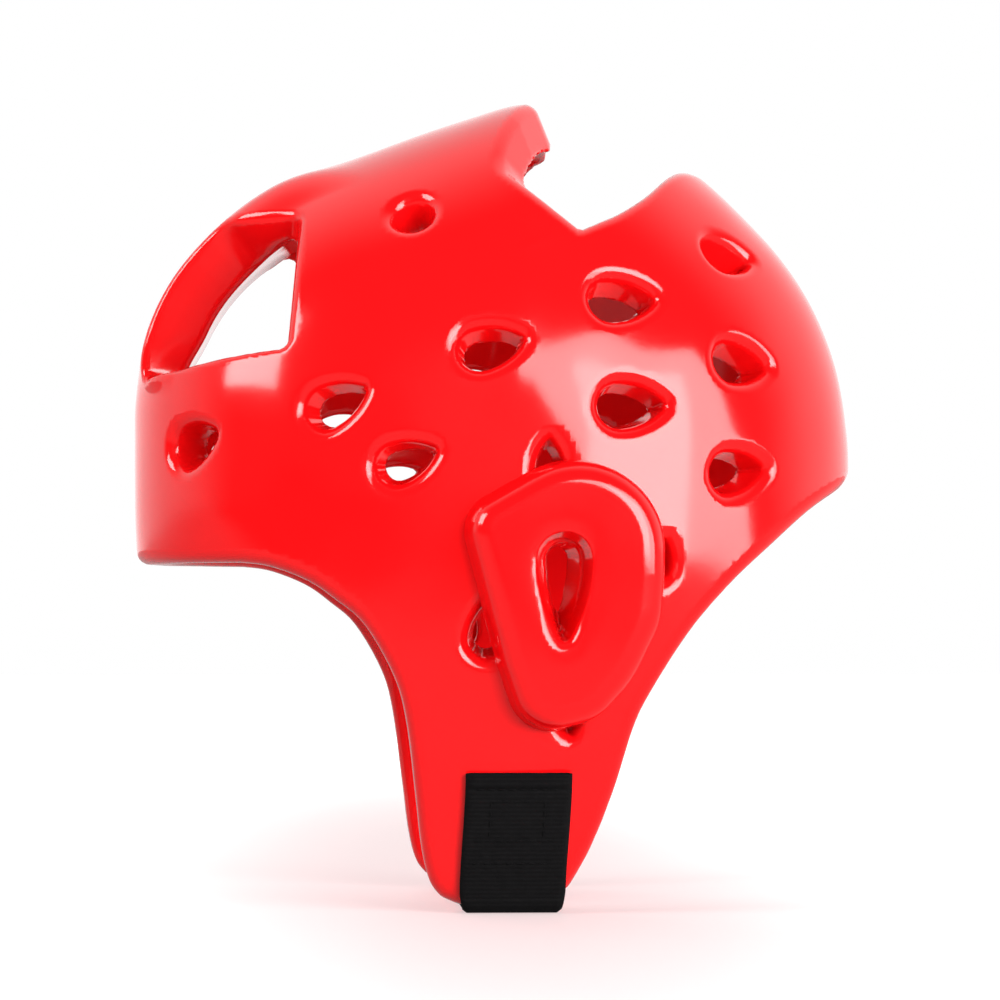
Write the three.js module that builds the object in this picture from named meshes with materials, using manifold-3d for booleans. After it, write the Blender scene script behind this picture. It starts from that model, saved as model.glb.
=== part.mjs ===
// Padded martial arts headgear: a glossy foam shell, two ear pads and a chin strap.
// Millimetres, +Z up. The face looks along -Y and the wearer's left is +X. The headgear stands on
// the flat run of its chin strap, with the origin at the middle of its base.

import * as THREE from 'three';
import { mergeVertices } from 'three/addons/utils/BufferGeometryUtils.js';
import Module from 'manifold-3d';

const wasm = await Module();
wasm.setup();

// Driving sizes of the head form
const LENGTH = 251;            // forehead to back panel
const WIDTH = 192;             // across the side walls, without the ear pads
const WIDEST_LEVEL = 153;      // height of the widest section above the ground
const JAW_WIDTH = 146;         // across the lobes at ground level
const JAW_LENGTH = 210;        // front to back of the form at ground level
const SQUARENESS = 2.2;        // 2 is an ellipse, more is boxier
const FOAM = 15.5;             // thickness of the padded wall

// Driving sizes of the shell's edges and openings
const BROW_LEVEL = 117.4;      // height of the forehead's lower edge
const LOBE_WIDTH = 56;         // front to back of a lobe near its foot
const LOBE_BACK = 3;           // middle of the lobes, behind the middle of the head
const STRIP_WIDTH = 54;        // centre strip between the windows
const WINDOW_SILL = 183;       // height of the windows' lower edge beside the strip
const WINDOW_HEIGHT = 56;
const WINDOW_WIDTH = 52;
const NOTCH_LEVEL = 229;       // height of the crown opening's pointed ends
const NOTCH_BACK = 26;         // how far behind the middle of the head they lie
const NOTCH_RISE = 40;         // degrees that the opening's front side rises
const CROWN_GAP = 60;          // front to back of the crown opening at its middle
const TONGUE_WIDTH = 128;      // width of the front part's rear end
const TONGUE_LEAN = 22;        // degrees that its end face leans back going down
const VENT_LENGTH = 27;
const VENT_WIDTH = 17;

// Driving sizes of the ear pads and the chin strap
const GAP = 0.3;               // clearance between neighbouring pieces
const EAR_BACK = 18.7;         // middle of the ear hole, behind the middle of the head
const EAR_LEVEL = 108.8;
const EAR_HOLE_LENGTH = 37;
const EAR_HOLE_WIDTH = 19;
const PAD_HEIGHT = 91;
const PAD_THICKNESS = 12;
const STRAP_WIDTH = 35.5;
const STRAP_THICKNESS = 2.4;
const STRAP_TOP = 47;          // height of the strap's sewn ends

// Facets
const COLUMNS = 52;            // round the head form
const ROWS = 26;               // from its base to its crown
const VENT_SIDES = 12;
const PAD_SIDES = 36;

const HALF_LENGTH = LENGTH / 2;
const HALF_WIDTH = WIDTH / 2;
const LOBE_FOOT = STRAP_THICKNESS + GAP;
const FAR = 2 * LENGTH;

// Swells of the crown's side outline: where each lies, in degrees up from the forehead, how far it
// rises as a share of half the length, and how far it spreads in degrees.
const SWELLS = [
  { at: 24, rise: 0.028, spread: 15 },
  { at: 70, rise: -0.067, spread: 19 },
  { at: 96, rise: 0.024, spread: 7 },
  { at: 134, rise: -0.0135, spread: 12 },
];

// Lower edge from the brow down to the foot of the lobe. A row lies in front of the lobe's middle by
// the sum of lobe, a share of half the lobe's width, and flare, a share of half the length. Up is a
// share of the brow level.
const FACE_EDGE = [
  { lobe: 1.15, flare: 0.468, up: 1 },
  { lobe: 1.15, flare: 0.387, up: 0.988 },
  { lobe: 1.15, flare: 0.288, up: 0.947 },
  { lobe: 1.15, flare: 0.212, up: 0.891 },
  { lobe: 1.15, flare: 0.137, up: 0.82 },
  { lobe: 1.15, flare: 0.057, up: 0.67 },
  { lobe: 1.15, flare: 0.023, up: 0.525 },
  { lobe: 1.15, flare: 0, up: 0.324 },
  { lobe: 1.08, flare: 0, up: 0.187 },
  { lobe: 0.98, flare: 0, up: 0.09 },
  { lobe: 0.84, flare: 0, up: 0.045 },
];

// Lower edge from the foot of the lobe up to the nape, in the same shares behind the lobe's middle.
const NAPE_EDGE = [
  { lobe: 0.69, flare: 0, up: 0.075 },
  { lobe: 0.943, flare: 0, up: 0.185 },
  { lobe: 1.15, flare: 0.0195, up: 0.369 },
  { lobe: 1.15, flare: 0.0645, up: 0.525 },
  { lobe: 1.15, flare: 0.1075, up: 0.624 },
  { lobe: 1.15, flare: 0.2095, up: 0.795 },
  { lobe: 1.15, flare: 0.316, up: 0.925 },
  { lobe: 1.15, flare: 0.4295, up: 1.036 },
  { lobe: 1.15, flare: 0.564, up: 1.153 },
  { lobe: 1.15, flare: 0.7, up: 1.238 },
  { lobe: 1.15, flare: 0.82, up: 1.31 },
];

// The lobe's flat foot, in shares of half its width in front of and behind its middle.
const FOOT_FRONT = 0.62;
const FOOT_REAR = 0.46;

// Rear side of the crown opening, from its pointed end up to the back panel's top edge, in shares of
// the crown gap behind and above the pointed end.
const NOTCH_REAR_EDGE = [
  { back: 0, up: 0 },
  { back: 0.12, up: 0.055 },
  { back: 0.235, up: 0.11 },
  { back: 0.395, up: 0.2175 },
  { back: 0.54, up: 0.35 },
  { back: 0.65, up: 0.42 },
  { back: 0.8, up: 0.46 },
  { back: 0.95, up: 0.65 },
  { back: 1.05, up: 1.5 },
];
const TONGUE_SHARE = 0.235;    // share of the crown gap that lies in front of the pointed ends

// Circles whose hull is the tongue seen from above: across from the middle, and ahead of the
// tongue's end, in shares of half its width.
const TONGUE_CORNERS = [
  { across: 0.19, ahead: 0.32, radius: 0.32 },
  { across: 0.72, ahead: 0.56, radius: 0.28 },
  { across: 0.72, ahead: 1.7, radius: 0.28 },
];

// Circles whose hull is a window seen from the front: across from the centre strip and up from the
// sill, in shares of the window's width and height, radius in shares of its width.
const WINDOW_CORNERS = [
  { across: 0.1, up: 0.1, radius: 0.1 },
  { across: 0.91, up: 0.23, radius: 0.09 },
  { across: 0.3, up: 0.8, radius: 0.2 },
  { across: 0.2, up: 0.76, radius: 0.14 },
];

// Vents of one side: middle behind the middle of the head as a share of half the length, height as
// a share of the widest level, tip's direction in degrees up from straight back, size as a share.
const VENTS = [
  { back: -0.838, up: 1.03, tip: 17, size: 1 },
  { back: -0.455, up: 1.112, tip: 24, size: 1 },
  { back: -0.266, up: 0.984, tip: 20, size: 0.95 },
  { back: -0.04, up: 1.236, tip: 14, size: 1 },
  { back: 0.32, up: 1.345, tip: 8, size: 1.05 },
  { back: 0.34, up: 1.108, tip: 3, size: 1.05 },
  { back: 0.63, up: 1.46, tip: 20, size: 0.95 },
  { back: 0.652, up: 1.21, tip: 2, size: 1 },
  { back: 0.64, up: 0.965, tip: 6, size: 1 },
];

// Vents round the ear hole, partly covered by the pad: behind and above the hole's middle in shares
// of the pad's height, tip and size as above.
const EAR_VENTS = [
  { back: -0.047, up: 0.444, tip: 92, size: 0.85 },
  { back: 0.381, up: 0.107, tip: 80, size: 0.72 },
  { back: 0.022, up: -0.473, tip: -80, size: 0.75 },
  { back: -0.268, up: -0.153, tip: 80, size: 0.9 },
];
const ROUND_VENT = { back: -0.243, up: 1.539, across: 0.95 };

// Circles whose hull is the ear pad's outline, in shares of its height from the ear hole's middle.
const PAD_CORNERS = [
  { back: -0.257, up: 0.246, radius: 0.095 },
  { back: 0.047, up: 0.163, radius: 0.32 },
  { back: 0.116, up: -0.058, radius: 0.247 },
  { back: -0.032, up: -0.364, radius: 0.167 },
];

// Section of the ear pad from its outer edge, across 0, to its hole, across 1, with the height of
// its face as a share of its thickness. It starts inside the shell's surface, which then trims it.
const PAD_SECTION = [
  { across: 0, height: -0.2 },
  { across: 0, height: 0.55 },
  { across: 0.045, height: 0.8 },
  { across: 0.15, height: 0.95 },
  { across: 0.36, height: 1 },
  { across: 0.62, height: 0.94 },
  { across: 0.84, height: 0.76 },
  { across: 0.96, height: 0.5 },
  { across: 1, height: 0.3 },
  { across: 1, height: -0.2 },
  { across: 0.5, height: -0.3 },
];

const foamRed = new THREE.MeshStandardMaterial({ color: 0xe5121a, roughness: 0.12, metalness: 0 });
const elasticBlack = new THREE.MeshStandardMaterial({ color: 0x111214, roughness: 0.9, metalness: 0 });

// Head form

// Half length of the head form in a direction of its side view, in degrees up from the forehead.
function crownRadius(degrees, shrink) {
  let share = 1;
  for (const swell of SWELLS) {
    share += swell.rise * Math.exp(-(((degrees - swell.at) / swell.spread) ** 2));
  }
  return HALF_LENGTH * share - shrink;
}

// How far out a point lies in the head form: 1 on its surface, less inside it.
function formLevel(x, y, z, shrink) {
  const rise = z - WIDEST_LEVEL;
  let across = x / (HALF_WIDTH - shrink);
  let along = 0;
  if (rise >= 0) {
    const degrees = THREE.MathUtils.radToDeg(Math.atan2(rise, -y));
    along = Math.hypot(y, rise) / crownRadius(degrees, shrink);
  } else {
    const taper = (rise / WIDEST_LEVEL) ** 2;
    across = x / (HALF_WIDTH - (HALF_WIDTH - JAW_WIDTH / 2) * taper - shrink);
    along = y / (HALF_LENGTH - (HALF_LENGTH - JAW_LENGTH / 2) * taper - shrink);
  }
  return (Math.abs(across) ** SQUARENESS + Math.abs(along) ** SQUARENESS) ** (1 / SQUARENESS);
}

// Distance from an inner point, along a direction, at which the head form's surface lies.
function surfaceReach(from, direction) {
  let low = 0;
  let high = FAR;
  const p = new THREE.Vector3();
  for (let i = 0; i < 40; i += 1) {
    const middle = (low + high) / 2;
    p.copy(from).addScaledVector(direction, middle);
    if (formLevel(p.x, p.y, p.z, 0) < 1) low = middle;
    else high = middle;
  }
  return low;
}

// Half width of the head form at a place of its side view.
function sideX(y, z) {
  return surfaceReach(new THREE.Vector3(0, y, z), new THREE.Vector3(1, 0, 0));
}

// Outward normal of the head form's surface at a place of its left side.
function sideNormal(y, z) {
  const x = sideX(y, z);
  const step = HALF_LENGTH / 250;
  return new THREE.Vector3(
    formLevel(x + step, y, z, 0) - formLevel(x - step, y, z, 0),
    formLevel(x, y + step, z, 0) - formLevel(x, y - step, z, 0),
    formLevel(x, y, z + step, 0) - formLevel(x, y, z - step, 0),
  ).normalize();
}

// Closed head form, shrunk inwards for its hollow, from below the ground to the crown.
function headForm(shrink) {
  const lastRing = 0.5 - 1 / ROWS;
  return solid(reshape(new THREE.SphereGeometry(1, COLUMNS, ROWS), (u, v) => {
    const turn = 2 * Math.PI * u;
    const lift = v >= 0.5 ? Math.PI * (v - 0.5) : 0;
    const direction = new THREE.Vector3(
      HALF_WIDTH * Math.cos(lift) * Math.cos(turn),
      HALF_WIDTH * Math.cos(lift) * Math.sin(turn),
      HALF_WIDTH * Math.sin(lift),
    );
    const drop = v >= 0.5 ? 0 : Math.min(1, (0.5 - v) / lastRing) * (WIDEST_LEVEL + FOAM);
    const level = WIDEST_LEVEL - drop;
    const reach = 1 / formLevel(direction.x, direction.y, direction.z + level, shrink);
    const isBasePole = v < 0.5 / ROWS;
    return direction.multiplyScalar(isBasePole ? 0 : reach).add(new THREE.Vector3(0, 0, level));
  }));
}

// Helpers for solids

// Moves each vertex of a closed three.js geometry to the place that its uv coordinates name.
function reshape(geometry, place) {
  const uv = geometry.attributes.uv;
  const position = geometry.attributes.position;
  for (let i = 0; i < position.count; i += 1) {
    const p = place(uv.getX(i), uv.getY(i));
    position.setXYZ(i, p.x, p.y, p.z);
  }
  return bare(geometry);
}

function bare(geometry) {
  geometry.deleteAttribute('uv');
  geometry.deleteAttribute('normal');
  return mergeVertices(geometry, 1e-3);
}

function solid(geometry) {
  return new wasm.Manifold(new wasm.Mesh({
    numProp: 3,
    vertProperties: new Float32Array(geometry.attributes.position.array),
    triVerts: new Uint32Array(geometry.index.array),
  }));
}

function geometryOf(manifold) {
  const mesh = manifold.getMesh();
  const geometry = new THREE.BufferGeometry();
  geometry.setAttribute('position', new THREE.BufferAttribute(new Float32Array(mesh.vertProperties), 3));
  geometry.setIndex(new THREE.BufferAttribute(new Uint32Array(mesh.triVerts), 1));
  geometry.computeVertexNormals();
  return geometry;
}

function mirrored(manifold) {
  return manifold.mirror([1, 0, 0]);
}

// Outline of the convex hull of circles, each { u, v, radius }, as Vector2 points.
function hullOutline(circles, steps) {
  const points = [];
  for (let i = 0; i < steps; i += 1) {
    const angle = (2 * Math.PI * i) / steps;
    const n = new THREE.Vector2(Math.cos(angle), Math.sin(angle));
    const reach = (c) => c.u * n.x + c.v * n.y + c.radius;
    const circle = circles.reduce((best, c) => (reach(c) > reach(best) ? c : best));
    points.push(new THREE.Vector2(circle.u + circle.radius * n.x, circle.v + circle.radius * n.y));
  }
  return points;
}

// Teardrop outline with its middle at the origin and its tip towards an angle in degrees.
function teardrop(length, width, steps, tipDegrees = 0) {
  const blunt = width / 2;
  const sharp = width / 12;
  const tip = new THREE.Vector2(1, 0).rotateAround(new THREE.Vector2(), THREE.MathUtils.degToRad(tipDegrees));
  const circle = (along, radius) => ({ u: along * tip.x, v: along * tip.y, radius });
  return hullOutline([circle(blunt - length / 2, blunt), circle(length / 2 - sharp, sharp)], steps);
}

function extruded(outline, depth) {
  return new THREE.ExtrudeGeometry(new THREE.Shape(outline), { depth, bevelEnabled: false });
}

// Prism through the left wall, square to its surface at a place of the side view.
function wallCut(outline, y, z) {
  const n = sideNormal(y, z);
  const u = new THREE.Vector3(0, 1, 0).projectOnPlane(n).normalize();
  const v = new THREE.Vector3().crossVectors(n, u);
  const geometry = extruded(outline, 4 * FOAM);
  geometry.translate(0, 0, -2.5 * FOAM);
  geometry.applyMatrix4(new THREE.Matrix4().makeBasis(u, v, n).setPosition(sideX(y, z), y, z));
  return solid(bare(geometry));
}

// Prism across the whole head from an outline of the side view, x of a point being its y.
function acrossCut(outline) {
  const geometry = extruded(outline, FAR);
  geometry.translate(0, 0, -FAR / 2);
  geometry.applyMatrix4(new THREE.Matrix4().makeBasis(
    new THREE.Vector3(0, 1, 0),
    new THREE.Vector3(0, 0, 1),
    new THREE.Vector3(1, 0, 0),
  ));
  return solid(bare(geometry));
}

// Shell

// All that lies above the brow, lobe and nape edges.
function keptRegion() {
  const edgePoint = (row, side) => new THREE.Vector2(
    LOBE_BACK + side * (row.lobe * LOBE_WIDTH / 2 + row.flare * HALF_LENGTH),
    row.up * BROW_LEVEL,
  );
  const face = new THREE.SplineCurve(FACE_EDGE.map((row) => edgePoint(row, -1))).getPoints(26);
  const nape = new THREE.SplineCurve(NAPE_EDGE.map((row) => edgePoint(row, 1))).getPoints(26);
  return acrossCut([
    new THREE.Vector2(-FAR / 2, BROW_LEVEL),
    ...face,
    new THREE.Vector2(LOBE_BACK - FOOT_FRONT * LOBE_WIDTH / 2, LOBE_FOOT),
    new THREE.Vector2(LOBE_BACK + FOOT_REAR * LOBE_WIDTH / 2, LOBE_FOOT),
    ...nape,
    new THREE.Vector2(FAR / 2, nape[nape.length - 1].y),
    new THREE.Vector2(FAR / 2, FAR),
    new THREE.Vector2(-FAR / 2, FAR),
  ]);
}

// What is taken away across the crown, between the front part's tongue and the back panel.
function crownOpening() {
  const rear = new THREE.SplineCurve(NOTCH_REAR_EDGE.map((row) => new THREE.Vector2(
    NOTCH_BACK + row.back * CROWN_GAP,
    NOTCH_LEVEL + row.up * CROWN_GAP,
  ))).getPoints(16);
  const rise = Math.tan(THREE.MathUtils.degToRad(NOTCH_RISE)) * CROWN_GAP;
  const notch = acrossCut([
    ...rear,
    new THREE.Vector2(NOTCH_BACK - CROWN_GAP, FAR),
    new THREE.Vector2(NOTCH_BACK - CROWN_GAP, NOTCH_LEVEL + rise),
  ]);
  return notch.subtract(tongue());
}

// Block that holds the front part's rear end, leaning back going down.
function tongue() {
  const half = TONGUE_WIDTH / 2;
  const end = NOTCH_BACK - TONGUE_SHARE * CROWN_GAP;
  const level = surfaceReach(new THREE.Vector3(0, end, 0), new THREE.Vector3(0, 0, 1));
  const corners = [];
  for (const corner of TONGUE_CORNERS) {
    for (const side of [-1, 1]) {
      corners.push({ u: side * corner.across * half, v: -corner.ahead * half, radius: corner.radius * half });
    }
  }
  const geometry = extruded(hullOutline(corners, 40), LENGTH);
  geometry.translate(0, 0, -LENGTH / 2);
  geometry.rotateX(THREE.MathUtils.degToRad(TONGUE_LEAN));
  geometry.translate(0, end, level);
  return solid(bare(geometry));
}

// Left window beside the centre strip, cut along lines that spread from inside the head.
function windowCut() {
  const centre = new THREE.Vector3(0, -0.1 * HALF_LENGTH, WIDEST_LEVEL + 0.05 * HALF_LENGTH);
  const inside = 0.62;
  const outside = 1.25;
  const corners = WINDOW_CORNERS.map((corner) => ({
    u: STRIP_WIDTH / 2 + corner.across * WINDOW_WIDTH,
    v: WINDOW_SILL + corner.up * WINDOW_HEIGHT,
    radius: corner.radius * WINDOW_WIDTH,
  }));
  const geometry = extruded(hullOutline(corners, 28), 1);
  const position = geometry.attributes.position;
  for (let i = 0; i < position.count; i += 1) {
    const x = position.getX(i);
    const z = position.getY(i);
    const ahead = surfaceReach(new THREE.Vector3(x, 0, z), new THREE.Vector3(0, -1, 0));
    const share = position.getZ(i) > 0.5 ? outside : inside;
    const p = new THREE.Vector3(x, -ahead, z).sub(centre).multiplyScalar(share).add(centre);
    position.setXYZ(i, p.x, p.y, p.z);
  }
  return solid(bare(geometry));
}

// Everything cut through the left half of the shell.
function leftCuts() {
  const cuts = [windowCut()];
  const cutVent = (vent, y, z) => {
    const outline = teardrop(VENT_LENGTH * vent.size, VENT_WIDTH * vent.size, VENT_SIDES, vent.tip);
    cuts.push(wallCut(outline, y, z));
  };
  for (const vent of VENTS) {
    cutVent(vent, vent.back * HALF_LENGTH, vent.up * WIDEST_LEVEL);
  }
  for (const vent of EAR_VENTS) {
    cutVent(vent, EAR_BACK + vent.back * PAD_HEIGHT, EAR_LEVEL + vent.up * PAD_HEIGHT);
  }
  const round = hullOutline([{ u: 0, v: 0, radius: ROUND_VENT.across * VENT_WIDTH / 2 }], VENT_SIDES);
  cuts.push(wallCut(round, ROUND_VENT.back * HALF_LENGTH, ROUND_VENT.up * WIDEST_LEVEL));
  cuts.push(wallCut(teardrop(EAR_HOLE_LENGTH, EAR_HOLE_WIDTH, VENT_SIDES, -90), EAR_BACK, EAR_LEVEL));
  return cuts;
}

function buildShell() {
  let shell = headForm(0).subtract(headForm(FOAM)).intersect(keptRegion()).subtract(crownOpening());
  for (const cut of leftCuts()) {
    shell = shell.subtract(cut).subtract(mirrored(cut));
  }
  return shell;
}

// Ear pads

// Left pad: a ring lofted from its outline to its hole, trimmed to seat on the shell's outside.
function buildEarPad() {
  const outer = hullOutline(PAD_CORNERS.map((corner) => ({
    u: corner.back * PAD_HEIGHT,
    v: corner.up * PAD_HEIGHT,
    radius: corner.radius * PAD_HEIGHT,
  })), PAD_SIDES);
  const hole = teardrop(EAR_HOLE_LENGTH, EAR_HOLE_WIDTH, PAD_SIDES, -90);
  const rows = PAD_SECTION.length;
  const ring = solid(reshape(new THREE.TorusGeometry(2, 1, rows, PAD_SIDES), (u, v) => {
    const i = Math.round(u * PAD_SIDES) % PAD_SIDES;
    const row = PAD_SECTION[Math.round(v * rows) % rows];
    const p = outer[i].clone().lerp(hole[i], row.across);
    const y = EAR_BACK + p.x;
    const z = EAR_LEVEL + p.y;
    return new THREE.Vector3(sideX(y, z) + row.height * PAD_THICKNESS, y, z);
  }));
  return ring.subtract(headForm(-GAP));
}

// Chin strap

// One band from the outside of the left lobe, under both lobes, to the outside of the right lobe.
function chinStrapGeometry() {
  const steps = 7;
  const bend = 4;
  const inner = [];
  const outer = [];
  for (let i = 0; i <= steps; i += 1) {
    const z = STRAP_TOP + (STRAP_THICKNESS - STRAP_TOP) * (i / steps);
    const x = sideX(LOBE_BACK, z) + GAP;
    inner.push(new THREE.Vector2(x, z));
    outer.push(new THREE.Vector2(x + STRAP_THICKNESS, z));
  }
  const corner = inner[steps];
  for (let i = 1; i <= bend; i += 1) {
    const angle = (Math.PI / 2) * (i / bend);
    outer.push(new THREE.Vector2(
      corner.x + STRAP_THICKNESS * Math.cos(angle),
      corner.y - STRAP_THICKNESS * Math.sin(angle),
    ));
  }
  const flip = (p) => new THREE.Vector2(-p.x, p.y);
  const outline = [...outer, ...outer.map(flip).reverse(), ...inner.map(flip), ...[...inner].reverse()];
  const geometry = extruded(outline, STRAP_WIDTH);
  geometry.rotateX(Math.PI / 2);
  geometry.translate(0, LOBE_BACK + STRAP_WIDTH / 2, 0);
  return bare(geometry);
}

// Assembly

function piece(name, geometry, material) {
  const mesh = new THREE.Mesh(geometry, material);
  mesh.name = name;
  return mesh;
}

const headgear = new THREE.Group();
const leftPad = buildEarPad();
headgear.add(piece('shell', geometryOf(buildShell()), foamRed));
headgear.add(piece('ear_pad_left', geometryOf(leftPad), foamRed));
headgear.add(piece('ear_pad_right', geometryOf(mirrored(leftPad)), foamRed));
headgear.add(piece('chin_strap', chinStrapGeometry(), elasticBlack));

export default headgear;
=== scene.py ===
"""Padded martial arts headgear: glossy foam shell, ear pads and chin elastic in a pale studio."""

import math

import bpy
import numpy as np
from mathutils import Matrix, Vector


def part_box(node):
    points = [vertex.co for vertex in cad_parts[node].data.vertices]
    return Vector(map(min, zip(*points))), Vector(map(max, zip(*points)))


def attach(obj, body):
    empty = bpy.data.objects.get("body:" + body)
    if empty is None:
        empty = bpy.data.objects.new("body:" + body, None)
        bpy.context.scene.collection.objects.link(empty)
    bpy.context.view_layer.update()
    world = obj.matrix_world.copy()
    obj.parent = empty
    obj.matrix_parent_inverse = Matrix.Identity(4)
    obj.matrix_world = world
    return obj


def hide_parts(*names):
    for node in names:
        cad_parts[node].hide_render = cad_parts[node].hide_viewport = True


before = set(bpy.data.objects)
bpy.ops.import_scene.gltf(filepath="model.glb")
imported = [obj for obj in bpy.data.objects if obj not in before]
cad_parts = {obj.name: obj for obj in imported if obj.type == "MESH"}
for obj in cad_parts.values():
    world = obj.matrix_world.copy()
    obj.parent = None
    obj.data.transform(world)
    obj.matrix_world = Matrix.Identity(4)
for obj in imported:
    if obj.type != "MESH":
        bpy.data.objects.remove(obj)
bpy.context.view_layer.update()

MM = 0.001
ROOT = "root"


def node_box(name):
    low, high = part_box(name)
    return np.array(low) / MM, np.array(high) / MM


SHELL_LOW, SHELL_HIGH = node_box("shell")
STRAP_LOW, STRAP_HIGH = node_box("chin_strap")

# Driving sizes of the head form, in millimetres
HALF_WIDTH = SHELL_HIGH[0]
HALF_LENGTH = SHELL_HIGH[1]
WIDEST_LEVEL = 153.0
JAW_WIDTH = 146.0
JAW_LENGTH = 210.0
SQUARENESS = 2.2               # power of its sections, 2 for an ellipse
FOAM = 15.5
JOIN = 14.0                    # half height of the band in which the crown blends into the jaw
SWELL_START = 9.0              # degrees over which the swells fade in above the forehead
# Degrees above the forehead in which the centre strip is flatter, and in which it is deeper
STRIP_FLAT_SPAN = {"start": 10, "fade_in": 8, "end": 50, "fade_out": 16}
STRIP_DEEP_SPAN = {"start": 12, "fade_in": 12, "end": 55, "fade_out": 15}

# Sizes of the shell's edges and openings, in millimetres and degrees
BROW_LEVEL = 117.4
LOBE_WIDTH = 56.0
LOBE_BACK = 3.0
LOBE_FOOT = SHELL_LOW[2]
FOOT_FRONT = 0.62              # ends of a lobe's flat foot, in shares of half the lobe's width
FOOT_REAR = 0.46
STRIP_WIDTH = 54.0
STRIP_FLATNESS = 0.7           # share of the crown's curve across that the strip lacks
STRIP_JOIN = 22.0              # width over which the curve comes back beside it
STRIP_DEPTH = 4.0              # how much thicker the strip is
STRIP_DEPTH_MARGIN = 2.0       # how far beside it the extra depth reaches
STRIP_DEPTH_JOIN = 12.0
WINDOW_SILL = 183.0
WINDOW_HEIGHT = 56.0
WINDOW_WIDTH = 52.0
WINDOW_MARGIN = 15.0           # room above and below in which its field is worked out
NOTCH_LEVEL = 229.0            # pointed lower end of the crown opening, in the side view
NOTCH_BACK = 26.0
NOTCH_RISE = 40.0              # slope of the side that rises ahead of it
CROWN_GAP = 60.0
TONGUE_WIDTH = 128.0
TONGUE_LEAN = 22.0             # of its end's face
TONGUE_SHARE = 0.2             # how far ahead of the opening's point it ends, in crown gaps
VENT_LENGTH = 23.5             # inside its rounded lip
VENT_WIDTH = 15.5
TIP_SHARE = 0.15               # radius of a teardrop's tip as a share of its width
HOLE_REACH = 2.2               # room round a hole's middle, in thicknesses of the foam
FAR = 4 * HALF_LENGTH

# Rounded lips, in millimetres
EDGE_LIP = 4.2
CROWN_LIP = 3.2
WINDOW_LIP = 2.6
VENT_LIP = 4.2
VENT_BACK_LIP = 3.0
VENT_TAPER = 0.2               # how fast a vent narrows on its way in
EAR_HOLE_STEP = 7.0            # how much smaller the ear hole is in the shell than in the pad
EAR_HOLE_LIP = 0.6
FILLET = 5.0                   # in the corners beside the tongue

# Ear pads, in millimetres
EAR_BACK = 18.7
EAR_LEVEL = 108.8
EAR_HOLE_LENGTH = 37.0
EAR_HOLE_WIDTH = 19.0
PAD_HEIGHT = 91.0
PAD_THICKNESS = 11.4
PAD_LIP = 8.0
PAD_HOLE_LIP = 0.7
PAD_TIP_LIP = 2.4              # how much rounder the lip is at the hole's tip
PAD_TIP_START = 4.0            # how far below the hole's middle it starts to grow
PAD_TIP_FADE = 12.0            # length of that change
PAD_HOLE_TAPER = 0.22          # how fast its hole narrows on its way in
PAD_FOOT = 1.6                 # how far the foot of its front side flares out
PAD_FOOT_RISE = 7.0
PAD_FOOT_LOSS = 0.8            # share of the foot that its rear side lacks
PAD_FOOT_FADE = 40.0           # length of the change between its sides
PAD_LEVELLING = 0.7            # share of the shell's curve along that its face lacks
PAD_LEVELLING_UP = 0.35        # share of the curve upwards that its face lacks
PAD_DISH = 0.6                 # how far its face falls towards the hole
PAD_DISH_REACH = 8.0
PAD_SEAT = -1.5                # the pad's underside above the shell

# Swells of the crown's side outline: at and spread in degrees from the forehead over the crown,
# rise as a share of half the length.
SWELLS = [
    {"at": 24, "rise": 0.028, "spread": 15},
    {"at": 70, "rise": -0.067, "spread": 19},
    {"at": 96, "rise": 0.024, "spread": 7},
    {"at": 134, "rise": -0.0135, "spread": 12},
]

# Lower edge, as in the solid: lobe is a share of half the lobe's width and flare of half the length,
# away from the lobe's middle, and up is a share of the brow level.
FACE_EDGE = [
    {"lobe": 1.15, "flare": 0.468, "up": 1},
    {"lobe": 1.15, "flare": 0.387, "up": 0.988},
    {"lobe": 1.15, "flare": 0.288, "up": 0.947},
    {"lobe": 1.15, "flare": 0.212, "up": 0.891},
    {"lobe": 1.15, "flare": 0.137, "up": 0.82},
    {"lobe": 1.15, "flare": 0.057, "up": 0.67},
    {"lobe": 1.15, "flare": 0.023, "up": 0.525},
    {"lobe": 1.15, "flare": 0, "up": 0.324},
    {"lobe": 1.08, "flare": 0, "up": 0.187},
    {"lobe": 0.98, "flare": 0, "up": 0.09},
    {"lobe": 0.84, "flare": 0, "up": 0.045},
]
NAPE_EDGE = [
    {"lobe": 0.69, "flare": 0, "up": 0.075},
    {"lobe": 0.943, "flare": 0, "up": 0.185},
    {"lobe": 1.15, "flare": 0.0195, "up": 0.369},
    {"lobe": 1.15, "flare": 0.0645, "up": 0.525},
    {"lobe": 1.15, "flare": 0.1075, "up": 0.624},
    {"lobe": 1.15, "flare": 0.2095, "up": 0.795},
    {"lobe": 1.15, "flare": 0.316, "up": 0.925},
    {"lobe": 1.15, "flare": 0.4295, "up": 1.036},
    {"lobe": 1.15, "flare": 0.564, "up": 1.153},
    {"lobe": 1.15, "flare": 0.7, "up": 1.238},
    {"lobe": 1.15, "flare": 0.82, "up": 1.31},
]

# Rear side of the crown opening, in shares of the crown gap from its pointed end.
NOTCH_REAR_EDGE = [
    {"back": 0, "up": 0},
    {"back": 0.12, "up": 0.055},
    {"back": 0.235, "up": 0.11},
    {"back": 0.395, "up": 0.2175},
    {"back": 0.54, "up": 0.35},
    {"back": 0.65, "up": 0.42},
    {"back": 0.8, "up": 0.46},
    {"back": 0.95, "up": 0.65},
    {"back": 1.05, "up": 1.5},
]

# Circles whose hull is the tongue from above, in shares of half its width.
TONGUE_CORNERS = [
    {"across": 0.19, "ahead": 0.32, "radius": 0.32},
    {"across": 0.72, "ahead": 0.56, "radius": 0.28},
    {"across": 0.72, "ahead": 1.7, "radius": 0.28},
]
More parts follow.
